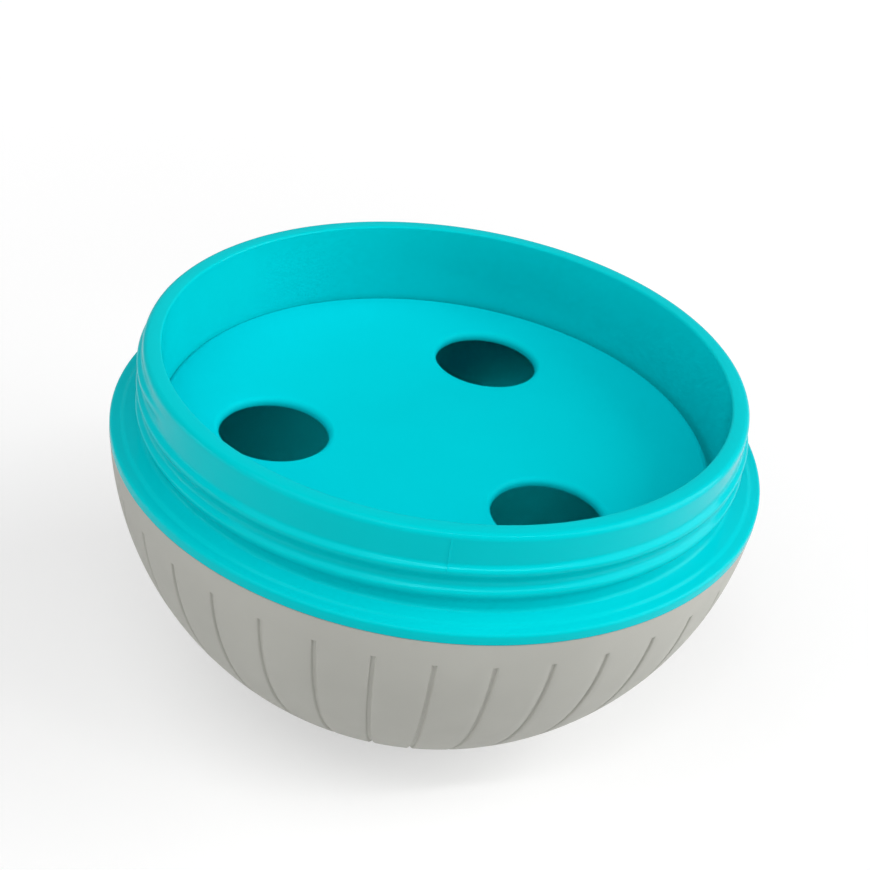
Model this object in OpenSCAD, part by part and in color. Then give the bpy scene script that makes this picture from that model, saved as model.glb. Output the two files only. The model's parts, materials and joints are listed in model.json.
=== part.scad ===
// Lower half of a treat ball that a pet rolls about to shake its food out.
// A grooved outer shell holds an inner bowl with the outlet, and a collar with the
// screw neck closes them both. A loose disc in the neck lets treats drop into the bowl.
// The origin is on the floor, on the ball's axis, and +Z points out of the neck.

/* [Ball] */
// Outside diameter of the ball
ball_d = 140; // [110:1:180]
// Height of the ball's centre above the underside of the flange
centre_rise = 4; // [0:0.5:8]

/* [Outer shell] */
// Thickness of the outer shell
shell_wall = 2.5; // [1.6:0.1:4]
// Number of upright grooves round the shell
groove_count = 38; // [12:1:60]
// Width of a groove
groove_w = 0.9; // [0.4:0.1:1.6]
// Depth of a groove
groove_depth = 0.5; // [0.2:0.1:1]
// Drop from the flange to the upper end of the grooves
groove_drop = 6; // [3:0.5:15]
// Height of the lower end of the grooves above the floor
groove_floor = 8; // [4:0.5:20]
// Turn of the first groove from the front of the ball, in degrees
groove_turn = 4.8; // [0:0.1:30]
// Width of the ring of shell that stands on the floor
foot_w = 3; // [1.5:0.1:6]

/* [Inner bowl] */
// Thickness of the inner bowl
bowl_wall = 2; // [1.2:0.1:3]
// Diameter of the outlet in the bottom of the bowl
outlet_d = 24; // [16:1:36]
// Thickness of the spout round the outlet
spout_wall = 2; // [1.2:0.1:3]

/* [Threaded collar] */
// Width of the shelf between the ball's edge and the neck
shelf_w = 6.2; // [4:0.1:12]
// Thickness of the flange at the foot of the neck
flange_t = 3; // [1.5:0.1:5]
// Width of the lowered step along the flange's edge
step_w = 2.5; // [0.6:0.1:4]
// Depth of that step
step_depth = 0.45; // [0.2:0.05:1.2]
// Thickness of the neck, without its thread
neck_wall = 4.1; // [2:0.1:5]
// Height of the neck's lip above the underside of the flange
neck_h = 20.2; // [12:0.1:30]
// Rounding of the two edges of the lip
lip_round = 1; // [0.2:0.1:1.2]
// Height of the tray's floor above the underside of the flange
tray_rise = 1.3; // [0:0.1:4]
// Width of the ledge that carries the disc
ledge_w = 3.5; // [2:0.1:6]
// Thickness of that ledge
ledge_t = 2.5; // [1.5:0.1:4]

/* [Screw thread] */
// Rise of the thread in one turn
thread_pitch = 4.85; // [4:0.05:8]
// Number of turns of the thread
thread_turns = 2.3; // [1:0.1:2.5]
// Height of the thread's crest above the neck
thread_h = 1; // [0.6:0.1:1.2]
// Width of the thread where it leaves the neck
thread_w = 3.6; // [2:0.1:3.8]
// Width of the thread's crest
crest_w = 1.4; // [0.6:0.1:1.6]
// Drop from the lip to the upper end of the thread
thread_drop = 3.9; // [3:0.1:8]
// Turn of the thread's upper end from the right of the ball, in degrees
thread_turn = 216; // [0:1:359]
// Turn over which the thread runs out at each end, in degrees
thread_fade = 15; // [10:1:30]

/* [Sorting disc] */
// Thickness of the disc
disc_t = 2; // [1.6:0.1:4]
// Diameter of a treat hole
hole_d = 23.8; // [14:0.2:26]
// Number of treat holes
hole_count = 3; // [2:1:4]
// Width of disc between its edge and a treat hole
hole_margin = 12; // [6:0.1:20]
// Rounding of the upper edge of a treat hole
hole_round = 1.3; // [0.2:0.1:1.4]
// Turn of the ring of holes from the right of the ball, in degrees
hole_turn = 75.2; // [0:0.1:120]

/* [Fits] */
// Gap between the disc and the neck with the disc in the middle of its seat
disc_gap = 0.8; // [0.4:0.05:1.2]
// Gap left on the side that the loose disc has slid to
side_gap = 0.3; // [0.2:0.05:0.4]
// Gap between pieces that nest in each other
nest_gap = 0.2; // [0.1:0.05:0.4]

/* [Hidden] */
$fn = 96;

// Cutters run past the faces that they open by this much
over = 1;
front = -90;
// Most of the lip's wall that either of its rounded edges may take
lip_share = 0.45;
// The thread is drawn in steps of this many degrees, and its root lies this deep in the neck's wall
thread_step = 7.5;
thread_sink = 0.5;
// Share of its depth that the thread keeps at its two ends, inside the wall
end_share = 0.1;
// Most of the pitch that the thread's root may take to either side
pitch_share = 0.49;

// Walls of the two nested bowls, from the outside in
ball_r = ball_d / 2;
shell_in_r = ball_r - shell_wall;
bowl_r = shell_in_r - nest_gap;
bowl_in_r = bowl_r - bowl_wall;

// Outlet, its spout and the flat ring round them that the ball stands on
outlet_r = outlet_d / 2;
spout_r = outlet_r + spout_wall;
spout_hole_r = spout_r + nest_gap;
foot_r = spout_hole_r + foot_w;

// Heights above the floor
centre_z = sqrt(pow(ball_r, 2) - pow(foot_r, 2));
flange_z = centre_z - centre_rise;
lip_z = flange_z + neck_h;
tray_z = flange_z + tray_rise;
thread_z = lip_z - thread_drop;
ledge_z = tray_z - disc_t;
skirt_z = ledge_z - ledge_t;

// Radii of the collar and of the disc that drops into it
neck_r = ball_r - shelf_w;
tray_r = neck_r - neck_wall;
ledge_in_r = tray_r - ledge_w;
lip_edge = min(lip_round, lip_share * neck_wall);
skirt_r = sqrt(pow(bowl_in_r, 2) - pow(centre_z - skirt_z, 2)) - nest_gap;
disc_r = tray_r - disc_gap;
disc_slip = disc_gap - side_gap;
hole_r = hole_d / 2;
hole_ring_r = disc_r - hole_margin - hole_r;

// Thread: a ridge with sloping sides, whose tip is cut off at the crest
crest_r = neck_r + thread_h;
root_r = neck_r - thread_sink;
flank = (thread_w - crest_w) / 2 / thread_h;
root_half = min(thread_w / 2 + flank * thread_sink, pitch_share * thread_pitch);
tip_r = crest_r + crest_w / 2 / flank;
thread_steps = round(360 * thread_turns / thread_step);
fade_steps = thread_fade / thread_step;

// Half profile of a round wall between two radii about the ball's centre,
// cut off at the flange and at the floor
module bowl_profile(outer_r, inner_r) {
    intersection() {
        translate([0, centre_z]) difference() {
            circle(outer_r);
            circle(inner_r);
        }
        square([ball_r, flange_z]);
    }
}

// One upright groove at the front of the shell, cut to an even depth under its outside
module groove() {
    rotate([90, 0, 0]) linear_extrude(groove_w, center = true) intersection() {
        translate([0, centre_z]) difference() {
            circle(ball_r + over);
            circle(ball_r - groove_depth);
        }
        translate([0, groove_floor]) square([ball_r + over, flange_z - groove_drop - groove_floor]);
    }
}

// Grey outer shell: half a hollow ball with upright grooves, flat where it stands
module outer_shell() {
    color("#aeb0a8") difference() {
        rotate_extrude() difference() {
            bowl_profile(ball_r, shell_in_r);
            square([spout_hole_r, centre_z]);
        }
        for (i = [0 : groove_count - 1])
            rotate(front + groove_turn + i * 360 / groove_count) groove();
    }
}

// Inner bowl that catches the treats, with a short spout down through the outer shell
module inner_bowl() {
    color("#06b4be") rotate_extrude() difference() {
        union() {
            bowl_profile(bowl_r, bowl_in_r);
            square([spout_r, centre_z - sqrt(pow(bowl_in_r, 2) - pow(spout_r, 2))]);
        }
        square([outlet_r, centre_z]);
    }
}

// Right-hand ridge of the screw thread from its upper end down, with its root inside the neck's wall
module thread_ridge() {
    sections = [
        for (i = [0 : thread_steps])
            let (share = max(end_share, min(1, i / fade_steps, (thread_steps - i) / fade_steps)))
            let (tip = root_r + (tip_r - root_r) * share)
            let (turn = thread_turn - i * thread_step)
            let (z = thread_z - thread_pitch * i * thread_step / 360)
            for (corner = [[root_r, -root_half], [tip, 0], [root_r, root_half]])
                [corner[0] * cos(turn), corner[0] * sin(turn), z + corner[1]]
    ];
    sides = [
        for (i = [0 : thread_steps - 1])
            for (k = [0 : 2])
                let (a = 3 * i + k)
                let (b = 3 * i + (k + 1) % 3)
                each [[a, a + 3, b], [b, a + 3, b + 3]]
    ];
    last = 3 * thread_steps;
    polyhedron(sections, concat(sides, [[0, 1, 2], [last + 2, last + 1, last]]));
}

// Collar: a flange that closes the two bowls, a neck with a round lip,
// and a skirt inside the bowl with a ledge for the disc
module threaded_collar() {
    color("#08cdd7") {
        rotate_extrude() {
            difference() {
                translate([tray_r, flange_z]) square([ball_r - tray_r, flange_t]);
                translate([ball_r - step_w, flange_z + flange_t - step_depth])
                    square([step_w + over, step_depth + over]);
            }
            translate([tray_r, flange_z]) square([neck_wall, neck_h - lip_edge]);
            translate([tray_r + lip_edge, flange_z]) square([neck_wall - 2 * lip_edge, neck_h]);
            for (r = [tray_r + lip_edge, neck_r - lip_edge])
                translate([r, lip_z - lip_edge]) circle(lip_edge);
            translate([tray_r, skirt_z]) square([skirt_r - tray_r, flange_z - skirt_z]);
            translate([ledge_in_r, skirt_z]) square([ledge_w, ledge_t]);
        }
        intersection() {
            thread_ridge();
            cylinder(r = crest_r, h = lip_z);
        }
    }
}

// One treat hole through the disc, with its upper edge rounded over
module treat_hole() {
    translate([0, 0, ledge_z - over]) cylinder(r = hole_r, h = disc_t + 2 * over);
    rotate_extrude() difference() {
        translate([0, tray_z - hole_round]) square([hole_r + hole_round, hole_round + over]);
        translate([hole_r + hole_round, tray_z - hole_round]) circle(hole_round);
    }
}

// Loose disc that lies on the collar's ledge, slid a little to the left, and is lifted out by its holes
module sorting_disc() {
    color("#05d0dc") translate([-disc_slip, 0, 0]) difference() {
        translate([0, 0, ledge_z]) cylinder(r = disc_r, h = disc_t);
        for (i = [0 : hole_count - 1])
            rotate(hole_turn + i * 360 / hole_count) translate([hole_ring_r, 0, 0]) treat_hole();
    }
}

outer_shell();
inner_bowl();
threaded_collar();
sorting_disc();
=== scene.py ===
import json
from math import acos, asin, atan2, copysign, cos, hypot, pi, radians, sin, sqrt, tan

import bmesh
import bpy
from mathutils import Matrix, Vector


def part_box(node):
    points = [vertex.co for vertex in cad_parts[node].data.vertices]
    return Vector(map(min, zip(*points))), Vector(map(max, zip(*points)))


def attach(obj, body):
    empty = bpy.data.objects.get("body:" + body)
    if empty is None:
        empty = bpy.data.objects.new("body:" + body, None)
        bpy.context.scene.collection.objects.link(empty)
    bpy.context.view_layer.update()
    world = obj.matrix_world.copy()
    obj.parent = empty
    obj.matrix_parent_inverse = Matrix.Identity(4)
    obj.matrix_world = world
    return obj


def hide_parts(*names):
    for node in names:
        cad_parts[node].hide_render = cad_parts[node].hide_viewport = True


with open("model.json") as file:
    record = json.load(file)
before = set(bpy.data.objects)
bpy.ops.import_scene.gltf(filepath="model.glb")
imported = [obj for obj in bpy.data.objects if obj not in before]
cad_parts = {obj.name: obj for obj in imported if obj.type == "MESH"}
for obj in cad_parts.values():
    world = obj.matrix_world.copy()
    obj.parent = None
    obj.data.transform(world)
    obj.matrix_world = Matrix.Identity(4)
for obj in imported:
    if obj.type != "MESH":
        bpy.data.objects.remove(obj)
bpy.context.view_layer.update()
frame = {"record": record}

# Outer shell: half a hollow ball, injection moulded in matte grey plastic, about 2.5 mm thick.
# Thin upright grooves run down its outside. It stands on a flat ring round its bottom hole,
# and the collar's flange is fixed on its upper edge.
mm = 0.001
white = (1, 1, 1, 1)
ball_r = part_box("threaded_collar")[1].x
flange_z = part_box("outer_shell")[1].z
centre_rise = 4 * mm
centre_z = flange_z + centre_rise
shell_wall = 2.5 * mm
shell_in_r = ball_r - shell_wall
foot_r = sqrt(ball_r ** 2 - centre_z ** 2)
foot_ring_w = 3 * mm
spout_hole_r = foot_r - foot_ring_w
groove_count = 38
groove_w = 1.1 * mm
groove_depth = 0.45 * mm
groove_slope = 0.25 * mm
groove_round = 0.18 * mm
groove_top_gap = 6 * mm
groove_top_z = flange_z - groove_top_gap
groove_low_z = 8 * mm
groove_turn = radians(-85.2)
land_steps = 3
weld = 0.004 * mm
sharp_edge = radians(35)
shell_grey = (0.52, 0.52, 0.475, 1)
clouds_per_metre = 45
dull_patches_per_metre = 160
grains_per_metre = 2600
noise_low, noise_high = 0.3, 0.7
gloss_change = 0.05
grain_strength = 0.35


def ball_angle(radius, z):
    """Angle of height z on a circle about the ball's centre, below zero under the centre."""
    return asin((z - centre_z) / radius)


def ball_arc(radius, start_z, end_z, steps):
    """Points (r, z) along a circle about the ball's centre, between two heights below it."""
    start, end = ball_angle(radius, start_z), ball_angle(radius, end_z)
    angles = [start + (end - start) * i / steps for i in range(steps + 1)]
    return [(radius * cos(a), centre_z + radius * sin(a)) for a in angles]


def ball_z(radius, r):
    """Height of a circle about the ball's centre, under the centre, at distance r from the axis."""
    return centre_z - sqrt(radius ** 2 - r ** 2)


def closed_loop(bm, outline):
    """Vertices and edges of a closed outline (r, z) in the XZ plane."""
    verts = [bm.verts.new((r, 0, z)) for r, z in outline]
    edges = [bm.edges.new((verts[i - 1], verts[i])) for i in range(len(verts))]
    return verts + edges


def turn(bm, geom, angle, steps, **options):
    """Spins geometry about the ball's axis and returns the last copy of it."""
    spun = bmesh.ops.spin(bm, geom=geom, cent=(0, 0, 0), axis=(0, 0, 1), angle=angle, steps=steps, **options)
    return spun["geom_last"]


def as_piece(bm, name, material, body, node):
    """Closes the mesh, makes it an object and sets it on its CAD body in place of its node."""
    bmesh.ops.remove_doubles(bm, verts=bm.verts, dist=weld)
    bmesh.ops.recalc_face_normals(bm, faces=bm.faces)
    mesh = bpy.data.meshes.new(name)
    bm.to_mesh(mesh)
    bm.free()
    mesh.shade_smooth()
    mesh.set_sharp_from_angle(angle=sharp_edge)
    mesh.materials.append(material)
    piece = bpy.data.objects.new(name, mesh)
    bpy.context.scene.collection.objects.link(piece)
    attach(piece, body)
    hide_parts(node)


def moulded_plastic(name, colour, roughness, specular, gloss_tint, grain, mottle):
    """Moulded plastic: a slightly uneven colour, a fine grain from the mould and patches of duller gloss."""
    material = bpy.data.materials.new(name)
    material.use_nodes = True
    nodes, links = material.node_tree.nodes, material.node_tree.links
    shader = nodes["Principled BSDF"]
    shader.inputs["Specular IOR Level"].default_value = specular
    shader.inputs["Specular Tint"].default_value = gloss_tint
    place = nodes.new("ShaderNodeTexCoord").outputs["Object"]

    def noise(scale, detail):
        node = nodes.new("ShaderNodeTexNoise")
        node.inputs["Scale"].default_value = scale
        node.inputs["Detail"].default_value = detail
        links.new(place, node.inputs["Vector"])
        return node.outputs["Fac"]

    def spread(value, low, high):
        node = nodes.new("ShaderNodeMapRange")
        node.inputs["From Min"].default_value = noise_low
        node.inputs["From Max"].default_value = noise_high
        node.inputs["To Min"].default_value = low
        node.inputs["To Max"].default_value = high
        links.new(value, node.inputs["Value"])
        return node.outputs["Result"]

    tint = nodes.new("ShaderNodeHueSaturation")
    tint.inputs["Color"].default_value = colour
    clouds = noise(clouds_per_metre, detail=3)
    links.new(spread(clouds, 1 - mottle, 1 + mottle), tint.inputs["Value"])
    links.new(tint.outputs["Color"], shader.inputs["Base Color"])
    dull_patches = noise(dull_patches_per_metre, detail=4)
    dullness = spread(dull_patches, roughness - gloss_change, roughness + gloss_change)
    links.new(dullness, shader.inputs["Roughness"])
    bump = nodes.new("ShaderNodeBump")
    bump.inputs["Distance"].default_value = grain
    bump.inputs["Strength"].default_value = grain_strength
    links.new(noise(grains_per_metre, detail=2), bump.inputs["Height"])
    links.new(bump.outputs["Normal"], shader.inputs["Normal"])
    return material


shell_outline = (
    ball_arc(ball_r, flange_z, groove_top_z, steps=4)
    + ball_arc(ball_r, groove_top_z, groove_low_z, steps=34)[1:]
    + ball_arc(ball_r, groove_low_z, 0, steps=6)[1:]
    + [(spout_hole_r, 0)]
    + ball_arc(shell_in_r, ball_z(shell_in_r, spout_hole_r), flange_z, steps=26)
)
# One sector of the shell is made with a groove down its middle, then repeated round the axis.
sector = 2 * pi / groove_count
groove_half = groove_w / 2 / ball_r
land = sector / 2 - groove_half
bm = bmesh.new()
edge = closed_loop(bm, shell_outline)
bmesh.ops.rotate(bm, verts=bm.verts, matrix=Matrix.Rotation(-sector / 2, 3, "Z"))
for width, steps in ((land, land_steps), (2 * groove_half, 1), (land, land_steps)):
    edge = turn(bm, edge, width, steps)
groove_edges = [v for v in bm.verts if abs(abs(atan2(v.co.y, v.co.x)) - groove_half) < groove_half / 100]
for v in groove_edges:
    out = hypot(v.co.x, v.co.y)
    side = copysign(groove_w / 2, v.co.y)
    v.co.x, v.co.y = sqrt(out ** 2 - side ** 2), side
centre = Vector((0, 0, centre_z))
strip = [
    f for f in bm.faces
    if all(v in groove_edges and (v.co - centre).length > ball_r - shell_wall / 2 for v in f.verts)
    and groove_low_z < f.calc_center_median().z < groove_top_z
]
rim = [e for e in bm.edges if sum(f in strip for f in e.link_faces) == 1]
bmesh.ops.inset_region(bm, faces=strip, thickness=groove_slope, use_even_offset=True)
groove_floor = [v for v in bm.verts if any(f in strip for f in v.link_faces)]
deeper = 1 - groove_depth / ball_r
bmesh.ops.scale(bm, vec=(deeper, deeper, deeper), verts=groove_floor, space=Matrix.Translation(-centre))
bmesh.ops.bevel(
    bm, geom=rim, offset=groove_round, segments=2, profile=0.5, affect="EDGES", material=-1,
    clamp_overlap=True,
)
turn(bm, bm.verts[:] + bm.edges[:] + bm.faces[:], 2 * pi - sector, groove_count - 1, use_duplicate=True)
bmesh.ops.rotate(bm, verts=bm.verts, matrix=Matrix.Rotation(groove_turn, 3, "Z"))
shell_plastic = moulded_plastic(
    "matte_grey_plastic", shell_grey, roughness=0.55, specular=0.25, gloss_tint=white,
    grain=0.03 * mm, mottle=0.03,
)
as_piece(bm, "outer_shell_moulding", shell_plastic, "base", "outer_shell")

# Inner bowl: a liner moulded in turquoise plastic, nested in the outer shell with its edge under the flange.
# Its bottom narrows to a short spout that comes through the shell's hole, flush with the foot ring.
nest_gap = 0.2 * mm
bowl_wall = 2 * mm
bowl_r = shell_in_r - nest_gap
bowl_in_r = bowl_r - bowl_wall
spout_r = spout_hole_r - nest_gap
outlet_r = spout_r - bowl_wall
outlet_flare = 1.5 * mm
outlet_round = 1.2 * mm
outlet_foot_round = 0.5 * mm
spout_foot_round = 0.3 * mm
bowl_rows = 30
bowl_steps = 180
bowl_turquoise = (0.0, 0.73, 0.77, 1)
turquoise_gloss = (0.2, 1, 1, 1)


def rounded(corners, steps=5):
    """A closed outline from (r, z, rounding) corners, with an arc of that radius at each rounded one."""
    points = []
    for i, (r, z, rounding) in enumerate(corners):
        corner = Vector((r, z))
        if not rounding:
            points.append(corner)
            continue
        back = (Vector(corners[i - 1][:2]) - corner).normalized()
        ahead = (Vector(corners[(i + 1) % len(corners)][:2]) - corner).normalized()
        half = acos(max(-1, min(1, back.dot(ahead)))) / 2
        middle = corner + (back + ahead).normalized() * rounding / sin(half)
        first = corner + back * rounding / tan(half) - middle
        last = corner + ahead * rounding / tan(half) - middle
        sweep = first.angle_signed(last)
        for k in range(steps + 1):
            turned = first.copy()
            turned.rotate(Matrix.Rotation(-sweep * k / steps, 2))
            points.append(middle + turned)
    return [tuple(p) for p in points]


spout_top = ball_z(bowl_r, spout_r)
outlet_top = ball_z(bowl_in_r, outlet_r + outlet_flare)
spout_corners = [
    (spout_r, spout_top, 0), (spout_r, 0, spout_foot_round), (outlet_r, 0, outlet_foot_round),
    (outlet_r, outlet_top, outlet_round), (outlet_r + outlet_flare, outlet_top, 0),
]
bowl_outline = (
    ball_arc(bowl_r, flange_z, spout_top, bowl_rows)
    + rounded(spout_corners)[1:-1]
    + ball_arc(bowl_in_r, outlet_top, flange_z, bowl_rows)
)
bm = bmesh.new()
turn(bm, closed_loop(bm, bowl_outline), 2 * pi, bowl_steps, use_merge=True)
bowl_plastic = moulded_plastic(
    "turquoise_bowl_plastic", bowl_turquoise, roughness=0.42, specular=0.05, gloss_tint=turquoise_gloss,
    grain=0.01 * mm, mottle=0.02,
)
as_piece(bm, "inner_bowl_moulding", bowl_plastic, "base", "inner_bowl")

# Threaded collar: a glossy turquoise moulding with a flange that closes both bowls, a neck with a round lip,
# and a ledge inside that carries the disc. The screw thread is moulded round the neck in one ridge, and the
# two halves of the mould leave a fine parting line on the neck, at the front and at the back.
collar_low, collar_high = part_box("threaded_collar")
disc_low, disc_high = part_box("sorting_disc")
crest_r = next(m["dims"]["r_mm"] for m in frame["record"]["mounts"] if m["name"] == "screw_neck") * mm
thread_height = 1 * mm
neck_r = crest_r - thread_height
neck_wall = 3.85 * mm
tray_r = neck_r - neck_wall
ledge_w = 3.5 * mm
ledge_in_r = tray_r - ledge_w
ledge_z = disc_low.z
lip_z = collar_high.z
lip_round = 1.2 * mm
lip_in_round = 0.5 * mm
skirt_z = collar_low.z
skirt_r = sqrt(bowl_in_r ** 2 - (centre_z - skirt_z) ** 2) - nest_gap
skirt_round = 0.3 * mm
flange_h = 3 * mm
flange_low_round = 0.35 * mm
flange_round = 0.7 * mm
shelf_z = flange_z + flange_h
step_drop = 0.45 * mm
step_z = shelf_z - step_drop
step_w = 2.5 * mm
step_r = ball_r - step_w
step_half = 0.4 * mm
step_round = 1.2 * mm
neck_foot_round = 0.8 * mm
row_gap = 0.1 * mm
neck_rows = 64
collar_steps = 360
thread_pitch = 4.85 * mm
thread_over = 1.5 * mm
thread_under = 2.9 * mm
thread_hollow = 1.4
crest_half = 0.2 * mm
thread_turns = 2.3
thread_end = radians(216)
thread_end_z = flange_z + 16.3 * mm
thread_fade = radians(16)
seam_turn = radians(274.6)
seam_steep = radians(0.06)
seam_slant = radians(0.35)
seam_rise = 0.14 * mm
seam_foot_z = flange_z + 12.5 * mm
seam_top_z = lip_z - 1.5 * mm
on_neck = 0.01 * mm
collar_turquoise = (0.0, 0.62, 0.67, 1)

neck_top = lip_z - lip_round - row_gap
neck_foot = shelf_z + neck_foot_round + row_gap
collar_outline = rounded(
    [(ledge_in_r, skirt_z, skirt_round), (skirt_r, skirt_z, skirt_round), (skirt_r, flange_z, 0),
     (ball_r, flange_z, flange_low_round), (ball_r, step_z, flange_round),
     (step_r + step_half, step_z, step_round), (step_r - step_half, shelf_z, step_round),
     (neck_r, shelf_z, neck_foot_round)]
    + [(neck_r, neck_foot + (neck_top - neck_foot) * i / neck_rows, 0) for i in range(neck_rows + 1)]
    + [(neck_r, lip_z, lip_round), (tray_r, lip_z, lip_in_round), (tray_r, ledge_z, 0),
       (ledge_in_r, ledge_z, skirt_round)]
)
bm = bmesh.new()
turn(bm, closed_loop(bm, collar_outline), 2 * pi, collar_steps, use_merge=True)
for side in (-seam_steep, 0, seam_slant):
    across = Vector((-sin(seam_turn + side), cos(seam_turn + side), 0))
    whole = bm.verts[:] + bm.edges[:] + bm.faces[:]
    bmesh.ops.bisect_plane(bm, geom=whole, plane_co=(0, 0, 0), plane_no=across)


def ease(share):
    """Smooth step from 0 to 1."""
    share = max(0, min(1, share))
    return share * share * (3 - 2 * share)


def thread_rise(azimuth, z):
    """How far the thread stands out of the neck at an azimuth and a height: one right-hand ridge."""
    rise = 0
    along = (thread_end - azimuth) % (2 * pi)
    while along < 2 * pi * thread_turns:
        middle = thread_end_z - thread_pitch * along / (2 * pi)
        fade = ease(along / thread_fade) * ease((2 * pi * thread_turns - along) / thread_fade)
        half = thread_over if z > middle else thread_under
        flank = (half - abs(z - middle)) / (half - crest_half)
        rise = max(rise, thread_height * fade * ease(flank) ** thread_hollow)
        along += 2 * pi
    return rise


for v in bm.verts:
    out = hypot(v.co.x, v.co.y)
    if abs(out - neck_r) < on_neck and shelf_z < v.co.z:
        azimuth = atan2(v.co.y, v.co.x)
        rise = thread_rise(azimuth, v.co.z)
        if abs(sin(azimuth - seam_turn)) < seam_steep / 2 and seam_foot_z < v.co.z < seam_top_z:
            rise += seam_rise
        grown = 1 + rise / out
        v.co.x *= grown
        v.co.y *= grown
collar_plastic = moulded_plastic(
    "turquoise_collar_plastic", collar_turquoise, roughness=0.14, specular=0.11, gloss_tint=turquoise_gloss,
    grain=0.004 * mm, mottle=0.015,
)
as_piece(bm, "threaded_collar_moulding", collar_plastic, "base", "threaded_collar")

# Sorting disc: a flat plate moulded in turquoise plastic, the floor of the tray. It lies loose on the
# collar's ledge, slightly off the middle, and its round holes also serve to lift it out with a finger.
disc_x = (disc_high.x + disc_low.x) / 2
disc_z = disc_high.z
disc_r = (disc_high.x - disc_low.x) / 2
disc_round = 0.3 * mm
disc_flare = 0.45 * mm
flare_drop = 0.05 * mm
flare_angle = 20
disc_steps = 240
hole_r = 11.7 * mm
hole_margin = 12 * mm
hole_ring_r = disc_r - hole_margin - hole_r
hole_round = 1.3 * mm
hole_count = 3
hole_turn = radians(75.2)
hole_steps = 96
level_gap = 0.001 * mm
disc_turquoise = (0.0, 0.63, 0.71, 1)


def edge_wall(bm, middle, outline, steps):
    """Spins an open outline (r, z) once round an upright axis through the middle."""
    verts = [bm.verts.new((middle.x + r, middle.y, z)) for r, z in outline]
    edges = [bm.edges.new(pair) for pair in zip(verts, verts[1:])]
    bmesh.ops.spin(
        bm, geom=verts + edges, cent=middle, axis=(0, 0, 1), angle=2 * pi, steps=steps, use_merge=True
    )


def corner_arc(r, z, radius, start, end, steps=6):
    """Points of an arc about (r, z), between two angles in degrees."""
    angles = [radians(start + (end - start) * i / steps) for i in range(steps + 1)]
    return [(r + radius * cos(a), z + radius * sin(a)) for a in angles]


disc_edge = (
    corner_arc(disc_r - disc_round, disc_z - disc_round, disc_round, 90, flare_angle)
    + [(disc_r + disc_flare, disc_z - flare_drop - disc_round)]
    + corner_arc(disc_r + disc_flare - disc_round, ledge_z + disc_round, disc_round, 0, -90)
)
hole_edge = (
    corner_arc(hole_r + hole_round, disc_z - hole_round, hole_round, 90, 180)
    + corner_arc(hole_r + disc_round, ledge_z + disc_round, disc_round, 180, 270)
)
bm = bmesh.new()
edge_wall(bm, Vector((disc_x, 0, 0)), disc_edge, disc_steps)
for i in range(hole_count):
    azimuth = hole_turn + 2 * pi * i / hole_count
    middle = Vector((hole_ring_r * cos(azimuth) + disc_x, hole_ring_r * sin(azimuth), 0))
    edge_wall(bm, middle, hole_edge, hole_steps)
for z in (disc_z, ledge_z):
    ring = [e for e in bm.edges if all(abs(v.co.z - z) < level_gap for v in e.verts)]
    bmesh.ops.triangle_fill(bm, use_beauty=True, use_dissolve=False, edges=ring)
disc_plastic = moulded_plastic(
    "turquoise_disc_plastic", disc_turquoise, roughness=0.35, specular=0.025, gloss_tint=turquoise_gloss,
    grain=0.006 * mm, mottle=0.012,
)
as_piece(bm, "sorting_disc_moulding", disc_plastic, "disc", "sorting_disc")

# Floor, studio light and camera: a pale table that turns white away from the ball, a large soft lamp at the
# right, one at the front left, a thin strip above the front and a low one at the left. The camera looks from
# the front and above, rolled as in the photograph.
floor_side = 12
floor_pale = (0.75, 0.75, 0.75, 1)
floor_shadow = (0.5, 0.5, 0.5, 1)
floor_roughness = 0.9
floor_glow = 0.53
glow_from = 0.2
glow_to = 1.6
surround = 0.2
lamp_side = 2.4
lamp_distance = 2.5
bm = bmesh.new()
bmesh.ops.create_grid(bm, x_segments=1, y_segments=1, size=floor_side / 2)
floor_mesh = bpy.data.meshes.new("floor")
bm.to_mesh(floor_mesh)
bm.free()
floor = bpy.data.objects.new("floor", floor_mesh)
bpy.context.scene.collection.objects.link(floor)
floor_paint = bpy.data.materials.new("floor_paint")
floor_paint.use_nodes = True
nodes, links = floor_paint.node_tree.nodes, floor_paint.node_tree.links
shader = nodes["Principled BSDF"]
shader.inputs["Roughness"].default_value = floor_roughness
shader.inputs["Specular IOR Level"].default_value = 0
shader.inputs["Emission Color"].default_value = white


def white_share(nodes, links):
    """How much of the white a ray meets: all from the camera, some by gloss or through a clear piece."""
    path = nodes.new("ShaderNodeLightPath")
    shiny = nodes.new("ShaderNodeMath")
    shiny.operation = "MAXIMUM"
    links.new(path.outputs["Is Glossy Ray"], shiny.inputs[0])
    links.new(path.outputs["Is Transmission Ray"], shiny.inputs[1])
    share = nodes.new("ShaderNodeMath")
    share.operation = "MULTIPLY_ADD"
    share.inputs[1].default_value = surround
    links.new(shiny.outputs["Value"], share.inputs[0])
    links.new(path.outputs["Is Camera Ray"], share.inputs[2])
    return share.outputs["Value"]


seen = white_share(nodes, links)
place = nodes.new("ShaderNodeTexCoord")
away = nodes.new("ShaderNodeVectorMath")
away.operation = "LENGTH"
links.new(place.outputs["Object"], away.inputs[0])
whiter = nodes.new("ShaderNodeMapRange")
whiter.inputs["From Min"].default_value = glow_from
whiter.inputs["From Max"].default_value = glow_to
whiter.inputs["To Min"].default_value = floor_glow
whiter.inputs["To Max"].default_value = 1
links.new(away.outputs["Value"], whiter.inputs["Value"])
glow = nodes.new("ShaderNodeMath")
glow.operation = "MULTIPLY"
links.new(seen, glow.inputs[0])
links.new(whiter.outputs["Result"], glow.inputs[1])
links.new(glow.outputs["Value"], shader.inputs["Emission Strength"])
shade = nodes.new("ShaderNodeMix")
shade.data_type = "RGBA"
shade.inputs["A"].default_value = floor_pale
shade.inputs["B"].default_value = floor_shadow
links.new(seen, shade.inputs["Factor"])
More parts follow.
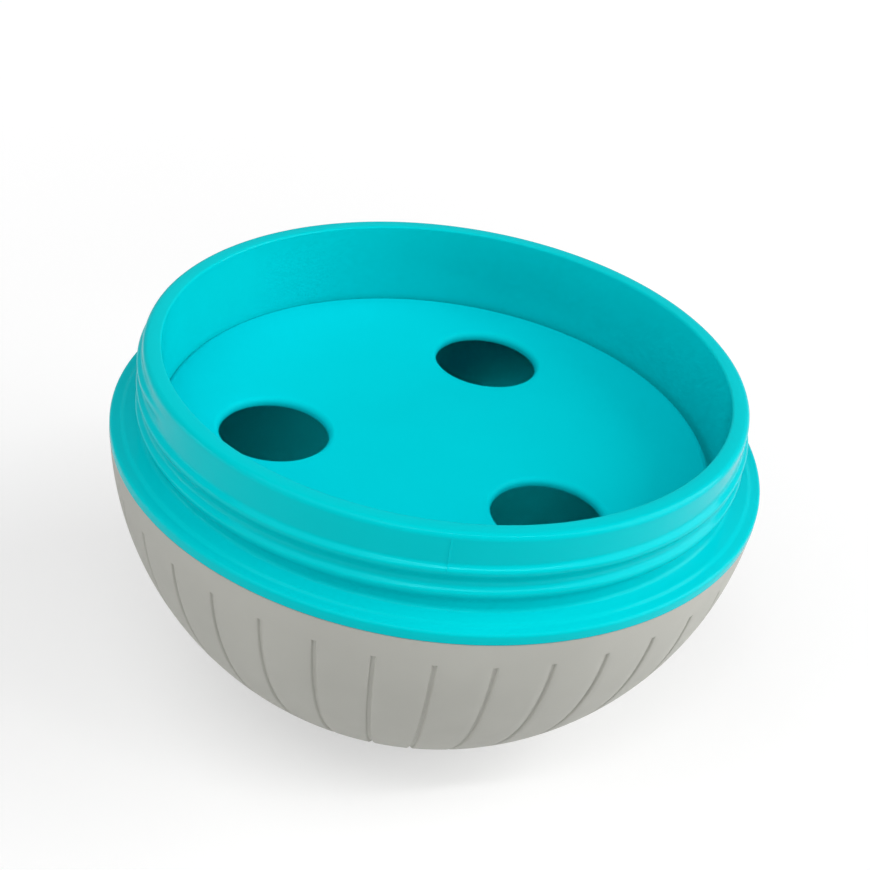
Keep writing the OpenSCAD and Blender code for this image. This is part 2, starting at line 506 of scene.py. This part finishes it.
links.new(shade.outputs["Result"], shader.inputs["Base Color"])
floor_mesh.materials.append(floor_paint)

world = bpy.data.worlds.new("studio")
bpy.context.scene.world = world
world.use_nodes = True
nodes, links = world.node_tree.nodes, world.node_tree.links
nodes["Background"].inputs["Color"].default_value = white
links.new(white_share(nodes, links), nodes["Background"].inputs["Strength"])


def soft_lamp(name, azimuth, height, watts, tall=lamp_side):
    """A wide soft lamp that faces the ball from an azimuth and a height, both in degrees."""
    lamp = bpy.data.lights.new(name, "AREA")
    lamp.shape = "RECTANGLE"
    lamp.size = lamp_side
    lamp.size_y = tall
    lamp.energy = watts
    holder = bpy.data.objects.new(name, lamp)
    out = cos(radians(height))
    towards = Vector((out * cos(radians(azimuth)), out * sin(radians(azimuth)), sin(radians(height))))
    holder.location = Vector((0, 0, flange_z)) + towards * lamp_distance
    holder.rotation_euler = (-towards).to_track_quat("-Z", "Y").to_euler()
    bpy.context.scene.collection.objects.link(holder)


soft_lamp("right_lamp", azimuth=0, height=30, watts=61.5)
soft_lamp("front_left_lamp", azimuth=225, height=58, watts=33)
soft_lamp("front_strip", azimuth=290, height=60, watts=19, tall=0.15)
soft_lamp("left_lamp", azimuth=200, height=4, watts=12, tall=0.35)

image_px = 870
focal_px = 1630
sensor_mm = 36
near_clip = 0.01
elevation = radians(32.39)
roll = radians(8.72)
camera_side = -0.6 * mm
camera_back = 298.84 * mm
camera_rise = 189.38 * mm
camera_place = Vector((camera_side, -camera_back, flange_z + camera_rise))
ahead = Vector((0, cos(elevation), -sin(elevation)))
level = Vector((1, 0, 0))
down = ahead.cross(level)
right = level * cos(roll) - down * sin(roll)
up = -(level * sin(roll) + down * cos(roll))
lens = bpy.data.cameras.new("camera")
lens.sensor_width = sensor_mm
lens.lens = sensor_mm * focal_px / image_px
lens.clip_start = near_clip
camera = bpy.data.objects.new("camera", lens)
camera.matrix_world = Matrix.Translation(camera_place) @ Matrix((right, up, -ahead)).transposed().to_4x4()
bpy.context.scene.collection.objects.link(camera)
bpy.context.scene.camera = camera
bpy.context.scene.view_settings.view_transform = "Standard"
